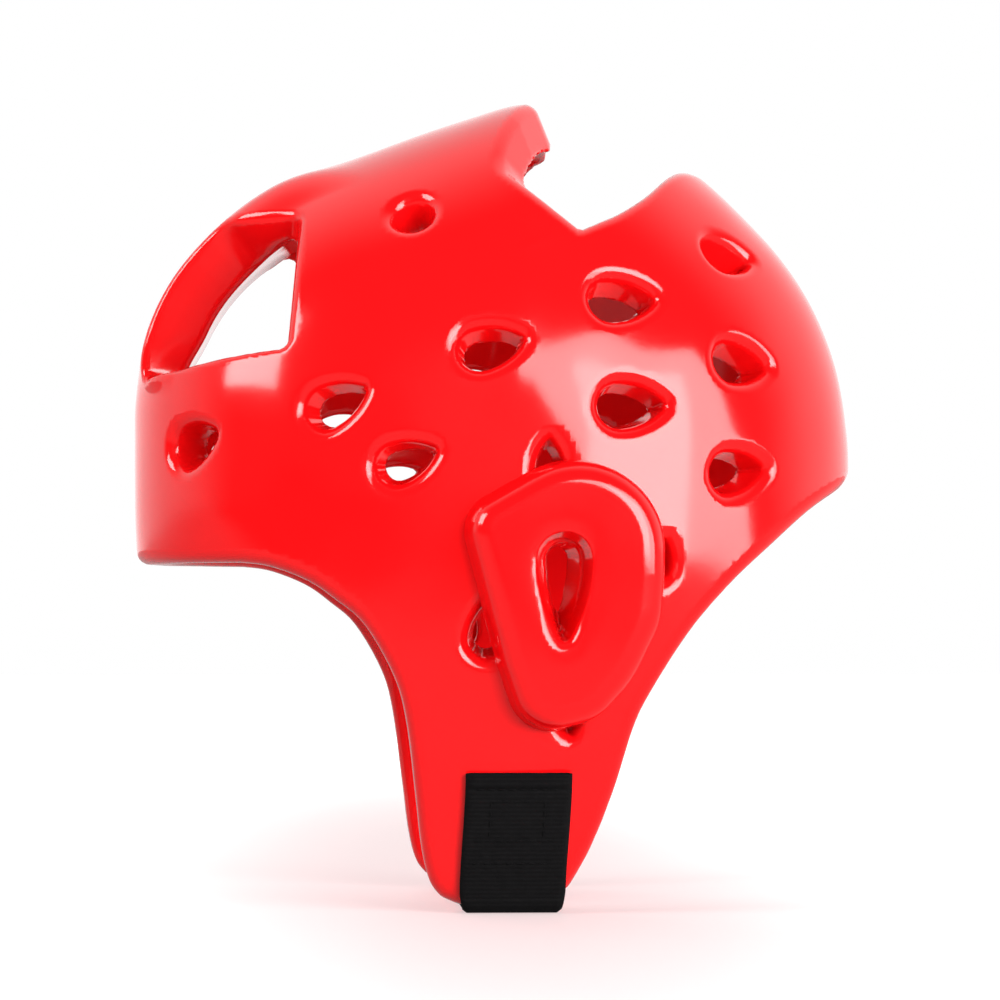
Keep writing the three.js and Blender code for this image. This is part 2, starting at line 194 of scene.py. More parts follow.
# Circles whose hull is the left window from the front, in shares of its width and height from the
# strip's edge and the sill.
WINDOW_CORNERS = [
    {"across": 0.08, "up": 0.045, "radius": 0.08},
    {"across": 1.1, "up": 0.193, "radius": 0.06},
    {"across": 0.78, "up": 0.42, "radius": 0.27},
    {"across": 0.53, "up": 0.848, "radius": 0.115},
    {"across": 0.2, "up": 0.8, "radius": 0.14},
]
# Two places (back, up) of the window's rear edge seen from the side, in millimetres
WINDOW_REAR_LOW = (-72.1, 191.5)
WINDOW_REAR_HIGH = (-68.0, 234.5)
WINDOW_REAR_CORNER = 3.0
# Place inside the head from which the window's sides spread, in shares of half the length
WINDOW_EYE = {"back": -0.1, "up": 0.05}
# Circles whose hull is the pad from the side, in shares of its height from the ear hole's middle
PAD_CORNERS = [
    {"back": -0.215, "up": 0.2, "radius": 0.13},
    {"back": 0.055, "up": 0.14, "radius": 0.315},
    {"back": 0.116, "up": -0.058, "radius": 0.247},
    {"back": 0.083, "up": -0.226, "radius": 0.2},
    {"back": 0.02, "up": -0.3, "radius": 0.2},
    {"back": -0.03, "up": -0.36, "radius": 0.155},
]

# Vents of one side: back as a share of half the length, up of the widest level, tip in degrees.
VENTS = [
    {"back": -0.838, "up": 1.03, "tip": 17, "size": 1},
    {"back": -0.455, "up": 1.112, "tip": 24, "size": 1},
    {"back": -0.266, "up": 0.984, "tip": 20, "size": 0.95},
    {"back": -0.04, "up": 1.236, "tip": 14, "size": 1},
    {"back": 0.32, "up": 1.345, "tip": 8, "size": 1.05},
    {"back": 0.34, "up": 1.108, "tip": 3, "size": 1.05},
    {"back": 0.63, "up": 1.46, "tip": 20, "size": 0.95},
    {"back": 0.652, "up": 1.21, "tip": 2, "size": 1},
    {"back": 0.64, "up": 0.965, "tip": 6, "size": 1},
]
# Vents round the ear hole, in shares of the pad's height from the hole's middle.
EAR_VENTS = [
    {"back": -0.047, "up": 0.455, "tip": 92, "size": 0.7},
    {"back": 0.37, "up": 0.1, "tip": 80, "size": 0.64},
    {"back": 0.022, "up": -0.473, "tip": -80, "size": 0.62},
    {"back": -0.268, "up": -0.153, "tip": 80, "size": 0.9},
]
ROUND_VENT = {"back": -0.243, "up": 1.539, "across": 14.5}

# Low ridge in the left side's skin below the crown opening, in millimetres and degrees
RIDGE = {"back": 10.7, "up": 224.2, "lean": 22, "length": 7.0, "width": 1.9, "rise": 0.32}

# Meshes
SHELL_STEP = 1.85
PAD_STEP = 1.1
PAD_ROOM = np.array([6.0, 7.0, 7.0])   # grid's room round the solid pad's box
RELAX_ROUNDS = 3
RIPPLE = 0.07                  # height of the skin's slow waves, in millimetres
RIPPLE_LENGTH = 60.0
RIPPLE_WAVES = 14

# Chin elastic, in millimetres
STRAP_THICKNESS = 2.4
STRAP_MIDDLE = (STRAP_HIGH[1] + STRAP_LOW[1]) / 2
STRAP_GAP = 0.3                # between the band and the lobes
STRAP_BEND = 2.2               # radius of the bend under a lobe, in thicknesses
STRAP_LEAN = 1.7               # how far its sewn end lies behind its foot
STRAP_LEAN_REACH = 44.0
STRAP_NARROWING = 1.5          # taken off each edge under the lobes
STRAP_NARROWING_START = 40.0   # distance from the sewn end
STRAP_NARROWING_FADE = 12.0
STRAP_EDGE = 0.4               # radius of its edges, in thicknesses
STRAP_SIDE = 0.09              # level of the points on its narrow sides, in thicknesses
STRAP_STEPS = 760              # sections along the band
STRAP_COLUMNS = 26             # points across each face
STRAP_SIDE_PLACES = 40         # places at which its route follows the shell's side
STRAP_BEND_PLACES = 9
RIB_PITCH = 1.5
RIB_DEPTH = 0.09
HEM_DEPTH = 5.0
HEM_RISE = 0.32
HEM_FADE = 0.8
HEM_GROOVE = 0.3
HEM_GROOVE_WIDTH = 0.7
STITCH_LENGTH = 2.3
STITCH_GAP = 1.0
STITCH_RADIUS = 0.27
STITCH_RISE = 0.12             # its middle above the band
STITCH_SIDES = 6
STITCH_RINGS = (-0.6, 0.0, 0.6)   # places along a stitch in shares of half its length
# Seams from one place to another, each (across, down from the sewn end)
SEAMS = [
    {"from": (-14, 4.9), "to": (14, 4.9)},
    {"from": (-9, 9), "to": (9, 9)},
    {"from": (9, 9), "to": (9, 22.4)},
    {"from": (-9, 9), "to": (-9, 22.4)},
    {"from": (-14, 22.4), "to": (14, 22.4)},
    {"from": (-14, 30.5), "to": (12, 30.5)},
]

# Camera: the photograph's direction and frame
CAMERA_AZIMUTH = 86.9
CAMERA_ELEVATION = -1.6
CAMERA_DISTANCE = 1.5
CAMERA_TARGET = Vector((0.0, 0.003, 0.1403))
CAMERA_LENS = 153.0
CAMERA_SENSOR = 36.0

# Colours, linear red, green and blue
SKIN_DARK = (0.70, 0.0025, 0.004)
SKIN_LIGHT = (0.76, 0.0035, 0.005)
ELASTIC_DARK = (0.0015, 0.0014, 0.0016)
ELASTIC_LIGHT = (0.004, 0.0037, 0.004)
FLOOR_COLOUR = (0.42, 0.38, 0.375)
# Painted light: near the object the floor's glow turns pink, standing for the red light the object
# throws on the floor
FLOOR_BOUNCE_TINT_NEAR = (1.0, 0.80, 0.81)
FLOOR_BOUNCE_TINT_FAR = (1.0, 0.985, 0.98)

# Studio, in metres
LIT_POINT = Vector((0.0, 0.0, 0.14))
FLOOR_REACH = 6.0
FLOOR_DROP = 0.0002            # how far the floor lies below the elastic
# Painted shadow: the floor glows dimmer near the object, standing for the object's soft shadow on it
FLOOR_SHADOWED_GLOW_NEAR = 0.52
FLOOR_GLOW_FAR = 0.9
FLOOR_GLOW_REACH = (0.02, 0.19)   # distances between which the painted shadow and painted pink bounce light near the object give way to the floor's pale glow
FLOOR_GLOW_STRETCH = 0.1       # share of the distance along X that counts
FLOOR_DIFFUSE = 0.15           # share of the floor's glow that diffuse surfaces get
FLOOR_REFLECTED = (0.4, 0.03)  # floor's light in reflections, under the object and well along X
FLOOR_REFLECTED_REACH = (0.25, 1.0)
ROOM_BEHIND = 1.1              # light of the surroundings at -X, behind the object
ROOM_AHEAD = 0.1               # and at +X, on the camera's side
ROOM_TURN = 0.35               # half the span in which one side's light becomes the other's
ROOM_DIFFUSE = 0.2             # share of the room's light that diffuse surfaces get
# Lights: azimuth from +X towards +Y and elevation in degrees, radiance as an emission's strength
KEY = {
    "azimuth": 37, "elevation": 10, "distance": 1.1,
    "width": 1.0, "height": 0.68, "lean": 0.65, "radiance": 8.0,
}
SOFTBOXES = [
    {"name": "core", "azimuth": 32, "elevation": 7, "distance": 1.05,
     "width": 0.5, "height": 0.5, "radiance": 5.0, "reflected": True},
    {"name": "left", "azimuth": -66, "elevation": 26, "distance": 1.2,
     "width": 0.5, "height": 0.55, "radiance": 11.0, "reflected": True},
    {"name": "fill", "azimuth": 5, "elevation": 12, "distance": 2.0,
     "width": 1.4, "height": 1.2, "radiance": 2.0, "reflected": False},
    {"name": "rear_fill", "azimuth": 200, "elevation": 12, "distance": 2.0,
     "width": 1.4, "height": 1.2, "radiance": 6.0, "reflected": False},
]


# Head form: fields are signed distances in millimetres, negative in the material.

def smooth(t):
    t = np.clip(t, 0, 1)
    return t * t * (3 - 2 * t)


def within(degrees, span):
    """1 between a span's start and end, with soft ends."""
    begun = smooth((degrees - span["start"]) / span["fade_in"])
    return begun * (1 - smooth((degrees - span["end"]) / span["fade_out"]))


def crown_radius(degrees, shrink):
    share = np.ones_like(degrees)
    fade = smooth(degrees / SWELL_START)
    for swell in SWELLS:
        offset = (degrees - swell["at"]) / swell["spread"]
        share += fade * swell["rise"] * np.exp(-(offset ** 2))
    return HALF_LENGTH * share - shrink


def form_level(p, shrink):
    """1 on the head form's surface and less inside it, for points of shape (n, 3)."""
    x, y, z = p[:, 0], p[:, 1], p[:, 2]
    rise = z - WIDEST_LEVEL
    degrees = np.degrees(np.arctan2(rise, -y))
    degrees = np.where(degrees < -90, degrees + 360, degrees)
    strip = 1 - smooth((np.abs(x) - STRIP_WIDTH / 2) / STRIP_JOIN)
    strip *= within(degrees, STRIP_FLAT_SPAN)
    crown_across = np.abs(x) * (1 - STRIP_FLATNESS * strip) / (HALF_WIDTH - shrink)
    crown_along = np.hypot(y, rise) / crown_radius(degrees, shrink)
    taper = (rise / WIDEST_LEVEL) ** 2
    jaw_across = np.abs(x) / (HALF_WIDTH - (HALF_WIDTH - JAW_WIDTH / 2) * taper - shrink)
    jaw_along = np.abs(y) / (HALF_LENGTH - (HALF_LENGTH - JAW_LENGTH / 2) * taper - shrink)
    crown = (crown_across ** SQUARENESS + crown_along ** SQUARENESS) ** (1 / SQUARENESS)
    jaw = (jaw_across ** SQUARENESS + jaw_along ** SQUARENESS) ** (1 / SQUARENESS)
    share = smooth((rise + JOIN) / (2 * JOIN))
    return share * crown + (1 - share) * jaw


def steepness(field, p, value, step=0.5):
    """Length of a field's gradient at points where its value is known."""
    total = np.zeros(len(p))
    for axis in range(3):
        moved = p.copy()
        moved[:, axis] += step
        total += ((field(moved) - value) / step) ** 2
    return np.sqrt(total) + 1e-9


def form_distance(p, shrink):
    """Signed distance to the head form moved in by a shrinkage."""
    level = form_level(p, shrink)
    return (level - 1) / steepness(lambda q: form_level(q, shrink), p, level)


def surface_reach(start, direction, field=lambda q: form_level(q, 0) - 1):
    """Distance along a direction at which the head form's surface lies."""
    low, high = 0.0, FAR
    for _ in range(40):
        middle = (low + high) / 2
        inside = field((start + middle * direction)[None, :])[0] < 0
        low, high = (middle, high) if inside else (low, middle)
    return low


def side_x(y, z):
    return surface_reach(np.array([0.0, y, z]), np.array([1.0, 0.0, 0.0]))


def side_frame(y, z):
    """Point of the left side's surface and its directions back, up and out."""
    point = np.array([side_x(y, z), y, z])
    out = np.array([
        form_level((point + step)[None, :], 0)[0] - form_level((point - step)[None, :], 0)[0]
        for step in np.eye(3) * 0.5
    ])
    out /= np.linalg.norm(out)
    back = np.array([0.0, 1.0, 0.0]) - out[1] * out
    back /= np.linalg.norm(back)
    return point, back, np.cross(out, back), out


# Plane fields

def spline(points, steps):
    """Catmull-Rom curve through the points, with the given steps between each two."""
    p = np.vstack([points[:1], points, points[-1:]])
    curve = []
    for i in range(1, len(p) - 2):
        t = (np.arange(steps) / steps)[:, None]
        a, b, c, d = p[i - 1], p[i], p[i + 1], p[i + 2]
        curve.append(0.5 * (2 * b + (c - a) * t + (2 * a - 5 * b + 4 * c - d) * t ** 2
                            + (3 * b - a - 3 * c + d) * t ** 3))
    return np.vstack(curve + [points[-1:]])


def polygon_field(u, v, polygon):
    """Signed distance to a closed polygon."""
    nearest = np.full(u.shape, np.inf)
    inside = np.zeros(u.shape, bool)
    for (u0, v0), (u1, v1) in zip(polygon, np.roll(polygon, -1, axis=0)):
        du, dv = u1 - u0, v1 - v0
        t = np.clip(((u - u0) * du + (v - v0) * dv) / (du * du + dv * dv + 1e-12), 0, 1)
        nearest = np.minimum(nearest, (u - u0 - t * du) ** 2 + (v - v0 - t * dv) ** 2)
        if dv != 0:
            inside ^= ((v0 > v) != (v1 > v)) & (u < u0 + du * (v - v0) / dv)
    return np.where(inside, -1, 1) * np.sqrt(nearest)


def hull_field(u, v, circles, directions=96):
    """Field of the convex hull of circles, each (u, v, radius)."""
    field = np.full(u.shape, -np.inf)
    for angle in np.arange(directions) * 2 * math.pi / directions:
        du, dv = math.cos(angle), math.sin(angle)
        reach = max(c[0] * du + c[1] * dv + c[2] for c in circles)
        field = np.maximum(field, u * du + v * dv - reach)
    return field


def teardrop_field(u, v, length, width, tip_degrees):
    """Field of a teardrop with curved sides, its middle at the origin and its tip towards an angle."""
    angle = math.radians(tip_degrees)
    along = u * math.cos(angle) + v * math.sin(angle) + (length - width) / 2
    across = np.abs(v * math.cos(angle) - u * math.sin(angle))
    tip = width * TIP_SHARE
    blunt = width / 2 - tip
    reach = length - width / 2 - tip
    radius = (reach ** 2 + blunt ** 2) / (2 * blunt)
    drop = radius - blunt
    beyond = across * reach + drop * (reach - along) < 0
    side = np.where(beyond, np.hypot(along - reach, across), np.hypot(along, across + drop) - radius)
    return np.where(along < 0, np.hypot(along, across) - blunt, side) - tip


def round_join(a, b, radius):
    """Intersection of two fields with a rounded edge."""
    corner = np.hypot(np.maximum(a + radius, 0), np.maximum(b + radius, 0))
    return np.minimum(np.maximum(a, b), -radius) + corner


# Shell

def edge_curve(rows, side):
    """Lower edge ahead of the lobes (side -1) or behind them (1), in the side view."""
    points = np.array([
        (LOBE_BACK + side * (row["lobe"] * LOBE_WIDTH / 2 + row["flare"] * HALF_LENGTH),
         row["up"] * BROW_LEVEL)
        for row in rows
    ])
    return spline(points, 5)


def kept_outline():
    """Side outline of all that lies above the brow, lobe and nape edges."""
    nape = edge_curve(NAPE_EDGE, 1)
    foot = [
        (LOBE_BACK - FOOT_FRONT * LOBE_WIDTH / 2, LOBE_FOOT),
        (LOBE_BACK + FOOT_REAR * LOBE_WIDTH / 2, LOBE_FOOT),
    ]
    return np.vstack([
        [(-FAR / 2, BROW_LEVEL)], edge_curve(FACE_EDGE, -1), foot, nape,
        [(FAR / 2, nape[-1, 1]), (FAR / 2, FAR), (-FAR / 2, FAR)],
    ])


def notch_outline():
    """Side outline of the crown opening, with the space above the tongue."""
    rear = spline(np.array([
        (NOTCH_BACK + row["back"] * CROWN_GAP, NOTCH_LEVEL + row["up"] * CROWN_GAP)
        for row in NOTCH_REAR_EDGE
    ]), 4)
    front = NOTCH_BACK - CROWN_GAP
    rise = math.tan(math.radians(NOTCH_RISE)) * CROWN_GAP
    return np.vstack([rear, [(front, FAR), (front, NOTCH_LEVEL + rise)]])


def tongue_field(p):
    """Tongue that reaches back over the crown opening, cut square to its lean."""
    half = TONGUE_WIDTH / 2
    end = NOTCH_BACK - TONGUE_SHARE * CROWN_GAP
    level = surface_reach(np.array([0.0, end, 0.0]), np.array([0.0, 0.0, 1.0]))
    lean = math.radians(TONGUE_LEAN)
    back = (p[:, 1] - end) * math.cos(lean) + (p[:, 2] - level) * math.sin(lean)
    circles = [
        (side * c["across"] * half, -c["ahead"] * half, c["radius"] * half)
        for c in TONGUE_CORNERS for side in (-1, 1)
    ]
    return hull_field(p[:, 0], back, circles)


def window_field(p):
    """Left window, cut along lines that spread from inside the head."""
    centre = np.array([
        0.0, WINDOW_EYE["back"] * HALF_LENGTH, WIDEST_LEVEL + WINDOW_EYE["up"] * HALF_LENGTH,
    ])
    circles = [
        (STRIP_WIDTH / 2 + c["across"] * WINDOW_WIDTH,
         WINDOW_SILL + c["up"] * WINDOW_HEIGHT,
         c["radius"] * WINDOW_WIDTH)
        for c in WINDOW_CORNERS
    ]

    def spread(q):
        ray = q - centre
        share = np.ones(len(q))
        for _ in range(6):
            share = share / form_level(centre + ray * share[:, None], 0)
        hit = centre + ray * share[:, None]
        return hull_field(hit[:, 0], hit[:, 2], circles) / share

    value = spread(p)
    front = value / steepness(spread, p, value)
    run = np.subtract(WINDOW_REAR_HIGH, WINDOW_REAR_LOW)
    run = run / np.linalg.norm(run)
    rear = (p[:, 1] - WINDOW_REAR_LOW[0]) * run[1] - (p[:, 2] - WINDOW_REAR_LOW[1]) * run[0]
    return round_join(front, rear, WINDOW_REAR_CORNER)


KEPT_OUTLINE = kept_outline()
NOTCH_OUTLINE = notch_outline()


def list_vents():
    """Every hole square through the left wall: its place with directions, plane field and lip."""
    vents = []
    for vent in VENTS:
        vents.append((vent["back"] * HALF_LENGTH, vent["up"] * WIDEST_LEVEL, vent))
    for vent in EAR_VENTS:
        vents.append((EAR_BACK + vent["back"] * PAD_HEIGHT, EAR_LEVEL + vent["up"] * PAD_HEIGHT, vent))
    holes = []
    for y, z, vent in vents:
        def field(u, v, size=vent["size"], tip=vent["tip"]):
            return teardrop_field(u, v, VENT_LENGTH * size, VENT_WIDTH * size, tip)
        holes.append((side_frame(y, z), field, VENT_LIP))
    radius = ROUND_VENT["across"] / 2
    place = side_frame(ROUND_VENT["back"] * HALF_LENGTH, ROUND_VENT["up"] * WIDEST_LEVEL)
    holes.append((place, lambda u, v: np.hypot(u, v) - radius, VENT_LIP))
    place = side_frame(EAR_BACK, EAR_LEVEL)
    length, width = EAR_HOLE_LENGTH - EAR_HOLE_STEP, EAR_HOLE_WIDTH - EAR_HOLE_STEP
    holes.append((place, lambda u, v: teardrop_field(u, v, length, width, -90), EAR_HOLE_LIP))
    return holes


HOLES = list_vents()
rng = np.random.default_rng(11)
WAVES = [
    (rng.normal(size=3) * 2 * math.pi / RIPPLE_LENGTH, rng.uniform(0, 2 * math.pi))
    for _ in range(RIPPLE_WAVES)
]


def ripple(p):
    """Slow unevenness of the skin."""
    return RIPPLE * sum(np.sin(p @ wave + phase) for wave, phase in WAVES) / math.sqrt(RIPPLE_WAVES / 2)


def strip_depth(p):
    """How much thicker than the rest the centre strip is."""
    degrees = np.degrees(np.arctan2(p[:, 2] - WIDEST_LEVEL, -p[:, 1]))
    beside = np.abs(p[:, 0]) - STRIP_WIDTH / 2 - STRIP_DEPTH_MARGIN
    return STRIP_DEPTH * within(degrees, STRIP_DEEP_SPAN) * (1 - smooth(beside / STRIP_DEPTH_JOIN))


def ridge(p):
    """Height of the low ridge in the left side's skin."""
    lean = math.radians(RIDGE["lean"])
    back, up = p[:, 1] - RIDGE["back"], p[:, 2] - RIDGE["up"]
    along = (back * math.cos(lean) + up * math.sin(lean)) / RIDGE["length"]
    across = (up * math.cos(lean) - back * math.sin(lean)) / RIDGE["width"]
    return RIDGE["rise"] * np.exp(-along ** 2 - across ** 2) * (p[:, 0] > 0)


def shell_field(points):
    """Shell, the same on both sides but for its ripple and its ridge."""
    p = np.abs(points * [1, 0, 0]) + points * [0, 1, 1]
    outside = form_distance(p, 0)
    inside = -form_distance(p, FOAM) - strip_depth(p)
    field = np.maximum(outside, inside)

    def cut(where, keep, lip, back_lip):
        field[where] = np.maximum.reduce([
            field[where],
            round_join(outside[where], keep, lip),
            round_join(inside[where], keep, back_lip),
        ])

    everywhere = np.ones(len(p), bool)
    cut(everywhere, polygon_field(p[:, 1], p[:, 2], KEPT_OUTLINE), EDGE_LIP, EDGE_LIP)
    above = p[:, 2] > NOTCH_LEVEL - 3 * CROWN_LIP
    crown = p[above]
    notch = polygon_field(crown[:, 1], crown[:, 2], NOTCH_OUTLINE)
    cut(above, -round_join(notch, -tongue_field(crown), FILLET), CROWN_LIP, CROWN_LIP)
    low, high = WINDOW_SILL - WINDOW_MARGIN, WINDOW_SILL + WINDOW_HEIGHT + WINDOW_MARGIN
    front = (p[:, 1] < 0) & (p[:, 2] > low) & (p[:, 2] < high)
    if front.any():
        cut(front, -window_field(p[front]), WINDOW_LIP, WINDOW_LIP)
    for (place, back, up, _), hole, lip in HOLES:
        offset = p - place
        near = (offset ** 2).sum(axis=1) < (HOLE_REACH * FOAM) ** 2
        if near.any():
            depth = np.clip(-outside[near], 0, FOAM)
            keep = -hole(offset[near] @ back, offset[near] @ up) - VENT_TAPER * depth
            cut(near, keep, lip, VENT_BACK_LIP)
    return field + ripple(points) - ridge(points)


# Meshes from fields

def surface_nets(values, origin, step):
    """Quads around the cells of a grid in which the field changes sign, one vertex in each cell."""
    inside = values < 0
    shape = np.array(values.shape)
    corners = [np.array([i >> 2 & 1, i >> 1 & 1, i & 1]) for i in range(8)]
    count = sum(
        inside[a:shape[0] - 1 + a, b:shape[1] - 1 + b, c:shape[2] - 1 + c].astype(int)
        for a, b, c in corners
    )
    mixed = (count > 0) & (count < 8)
    cells = np.argwhere(mixed)
    index = np.full(mixed.shape, -1)
    index[mixed] = np.arange(len(cells))
    total = np.zeros((len(cells), 3))
    hits = np.zeros(len(cells))
    for first in corners:
        for axis in range(3):
            if first[axis]:
                continue
            second = first + np.eye(3, dtype=int)[axis]
            a = values[tuple((cells + first).T)]
            b = values[tuple((cells + second).T)]
            crossing = (a < 0) != (b < 0)
            t = np.where(crossing, a / np.where(crossing, a - b, 1), 0)
            total += crossing[:, None] * (first + t[:, None] * (second - first))
            hits += crossing
    vertices = origin + step * (cells + total / hits[:, None])
    quads = []
    for axis in range(3):
        one, two = np.eye(3, dtype=int)[(axis + 1) % 3], np.eye(3, dtype=int)[(axis + 2) % 3]
        low = [slice(None)] * 3
        high = [slice(None)] * 3
        low[axis], high[axis] = slice(None, -1), slice(1, None)
        edges = np.argwhere(inside[tuple(low)] != inside[tuple(high)])
        ring = [edges - one - two, edges - two, edges, edges - one]
        quad = np.stack([index[tuple(cell.T)] for cell in ring], axis=1)
        leaving = inside[tuple(edges.T)]
        quads.append(np.where(leaving[:, None], quad, quad[:, ::-1]))
    return vertices, np.vstack(quads)


def relax(vertices, quads):
    """Moves each vertex half of the way to the middle of its neighbours."""
    start = quads.ravel()
    end = np.roll(quads, -1, axis=1).ravel()
    total = np.zeros_like(vertices)
    for axis in range(3):
        total[:, axis] = np.bincount(start, vertices[end, axis], len(vertices))
        total[:, axis] += np.bincount(end, vertices[start, axis], len(vertices))
    count = np.bincount(start, minlength=len(vertices)) + np.bincount(end, minlength=len(vertices))
    return (vertices + total / count[:, None]) / 2


def project(vertices, field, longest, step=0.3):
    """Moves vertices along the gradient onto the zero level of a field."""
    value = field(vertices)
    slope = np.zeros_like(vertices)
    for axis in range(3):
        moved = vertices.copy()
        moved[:, axis] += step
        slope[:, axis] = (field(moved) - value) / step
    size = np.maximum((slope ** 2).sum(axis=1), 0.05)
    move = -(value / size)[:, None] * slope
    length = np.linalg.norm(move, axis=1)[:, None]
    return vertices + move * np.minimum(1, longest / np.maximum(length, 1e-9))


def field_normals(vertices, field, step=0.35):
    slope = np.zeros_like(vertices)
    for axis in range(3):
        ahead, behind = vertices.copy(), vertices.copy()
        ahead[:, axis] += step
        behind[:, axis] -= step
        slope[:, axis] = field(ahead) - field(behind)
    return slope / (np.linalg.norm(slope, axis=1)[:, None] + 1e-12)


def fit_mesh(values, origin, step, field):
    """Even mesh of a field's zero level, with the field's own normals."""
    vertices, quads = surface_nets(values, origin, step)
    for _ in range(RELAX_ROUNDS):
        vertices = project(relax(vertices, quads), field, step)
    vertices = project(vertices, field, step)
    return vertices, quads, field_normals(vertices, field)


def add_mesh(name, vertices, faces, normals=None):
    """Smooth mesh object from millimetres, with the given normals where there are any."""
    mesh = bpy.data.meshes.new(name)
    rings = [tuple(int(i) for i in face) for face in faces]
    mesh.from_pydata((np.asarray(vertices) * MM).tolist(), [], rings)
    mesh.polygons.foreach_set("use_smooth", np.ones(len(mesh.polygons), bool))
    mesh.validate()
    if normals is not None and len(normals) == len(mesh.vertices):
        mesh.normals_split_custom_set_from_vertices(normals.tolist())
    obj = bpy.data.objects.new(name, mesh)
    bpy.context.scene.collection.objects.link(obj)
    return obj


def grid_points(low, high, step):
    axes = [np.arange(math.ceil((b - a) / step) + 1) * step + a for a, b in zip(low, high)]
    shape = tuple(len(a) for a in axes)
    points = np.stack(np.meshgrid(*axes, indexing="ij"), axis=-1).reshape(-1, 3)
    return points, shape


def build_shell():
    """Shell's skin, its field worked out on one side and mirrored into a whole grid."""
    margin = 2 * SHELL_STEP
    low = np.array([0.0, SHELL_LOW[1] - margin, SHELL_LOW[2] - margin])
    points, shape = grid_points(low, SHELL_HIGH + margin, SHELL_STEP)
    band = margin / HALF_WIDTH
    wall = (form_level(points, 0) < 1 + band) & (form_level(points, FOAM) > 1 - band)
    values = np.full(len(points), margin)
    values[wall] = shell_field(points[wall])
    half = values.reshape(shape)
    whole = np.concatenate([half[:0:-1], half])
    origin = np.array([-(shape[0] - 1) * SHELL_STEP, low[1], low[2]])
    vertices, quads, normals = fit_mesh(whole, origin, SHELL_STEP, shell_field)
    shell = add_mesh("shell_skin", vertices, quads, normals)
    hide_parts("shell")
    return shell


# Ear pads

PAD_CIRCLES = [
    (c["back"] * PAD_HEIGHT, c["up"] * PAD_HEIGHT, c["radius"] * PAD_HEIGHT) for c in PAD_CORNERS
]


def side_surface(y, z, step=0.5):
    """Half width of the head form at many places of its side view."""
    x = np.full(len(y), HALF_WIDTH)
    for _ in range(5):
        p = np.stack([x, y, z], axis=1)
        level = form_level(p, 0)
        x = x - (level - 1) * step / (form_level(p + [step, 0, 0], 0) - level)
    return x


def pad_field(points):
    """Ear pad seated in the shell: level along, dished round its hole, flared at its foot."""
    x, y, z = np.abs(points[:, 0]), points[:, 1], points[:, 2]
    u, v = y - EAR_BACK, z - EAR_LEVEL
    height = x - side_surface(y, z)
    outline = hull_field(u, v, PAD_CIRCLES)
    hole = teardrop_field(u, v, EAR_HOLE_LENGTH, EAR_HOLE_WIDTH, -90)
    ear = side_x(EAR_BACK, EAR_LEVEL)
    levelling = PAD_LEVELLING * (ear - side_surface(y, np.full_like(y, EAR_LEVEL)))
    levelling += PAD_LEVELLING_UP * (ear - side_surface(np.full_like(z, EAR_BACK), z))
    dish = PAD_DISH * (1 - np.clip(hole / PAD_DISH_REACH, 0, 1)) ** 2
    face = height - (PAD_THICKNESS + levelling - dish)
    ahead = 1 - PAD_FOOT_LOSS * smooth(0.5 + u / PAD_FOOT_FADE)
    foot = PAD_FOOT * ahead * (1 - np.clip(height / PAD_FOOT_RISE, 0, 1)) ** 2
    side = round_join(face, outline - foot, PAD_LIP)
    depth = PAD_THICKNESS + levelling - height
    lip = PAD_HOLE_LIP + PAD_TIP_LIP * smooth((-v - PAD_TIP_START) / PAD_TIP_FADE)
    ring = round_join(side, -hole - PAD_HOLE_TAPER * depth, lip)
    return np.maximum(ring, PAD_SEAT - height) + ripple(points)


def build_pad(name, side):
    """Ear pad of the left side (1), or its mirror image (-1)."""
    low, high = node_box("ear_pad_left")
    points, shape = grid_points(low - PAD_ROOM, high + PAD_ROOM, PAD_STEP)
    values = pad_field(points).reshape(shape)
    vertices, quads, normals = fit_mesh(values, low - PAD_ROOM, PAD_STEP, pad_field)
    if side < 0:
        vertices, normals = vertices * [-1, 1, 1], normals * [-1, 1, 1]
        quads = quads[:, ::-1]
    pad = add_mesh(name + "_skin", vertices, quads, normals)
    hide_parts(name)
    return pad


# Chin elastic

def strap_path():
    """Middle line of the band in its own plane, (x, z), its outward directions and its run."""
    half = STRAP_THICKNESS / 2
    bend = STRAP_BEND * STRAP_THICKNESS
    levels = np.linspace(STRAP_HIGH[2], bend, STRAP_SIDE_PLACES)
    side = np.array([(side_x(LOBE_BACK, z) + STRAP_GAP + half, z) for z in levels])
    corner = np.array([side[-1, 0] - bend + half, bend])
    arc = [
        (corner[0] + (bend - half) * math.cos(a), corner[1] - (bend - half) * math.sin(a))
        for a in np.linspace(0, math.pi / 2, STRAP_BEND_PLACES)[1:]
    ]
    left = np.vstack([side, arc])
    right = (left * [-1, 1])[::-1]
    line = np.vstack([left, right])
    length = np.concatenate([[0], np.cumsum(np.linalg.norm(np.diff(line, axis=0), axis=1))])
    at = np.linspace(0, length[-1], STRAP_STEPS)
    path = np.stack([np.interp(at, length, line[:, i]) for i in (0, 1)], axis=1)
    along = np.gradient(path, axis=0)
    along /= np.linalg.norm(along, axis=1)[:, None]
    out = np.stack([-along[:, 1], along[:, 0]], axis=1)
    return path, out, at


def strap_lean(end):
    """How far back the band lies at a distance from its sewn end."""
    return STRAP_LEAN * (1 - smooth(end / STRAP_LEAN_REACH))


def strap_relief(at, end):
    """Ribs across the outer face, and the raised hem with its groove near a sewn end."""
    rib = RIB_DEPTH * math.sin(2 * math.pi * at / RIB_PITCH)
    hem = HEM_RISE * smooth((HEM_DEPTH - end) / HEM_FADE)
    groove = HEM_GROOVE * math.exp(-((end - HEM_DEPTH) / HEM_GROOVE_WIDTH) ** 2)
    return rib + hem - groove


def strap_section():
    """Points round the band: share of half its width, and 1 or -1 on a face or a level on a side."""
    face = [(u, 1.0) for u in np.linspace(-1, 1, STRAP_COLUMNS)]
    half = face + [(1.0, STRAP_SIDE), (1.0, -STRAP_SIDE)]
    return half + [(-u, -v) for u, v in half]


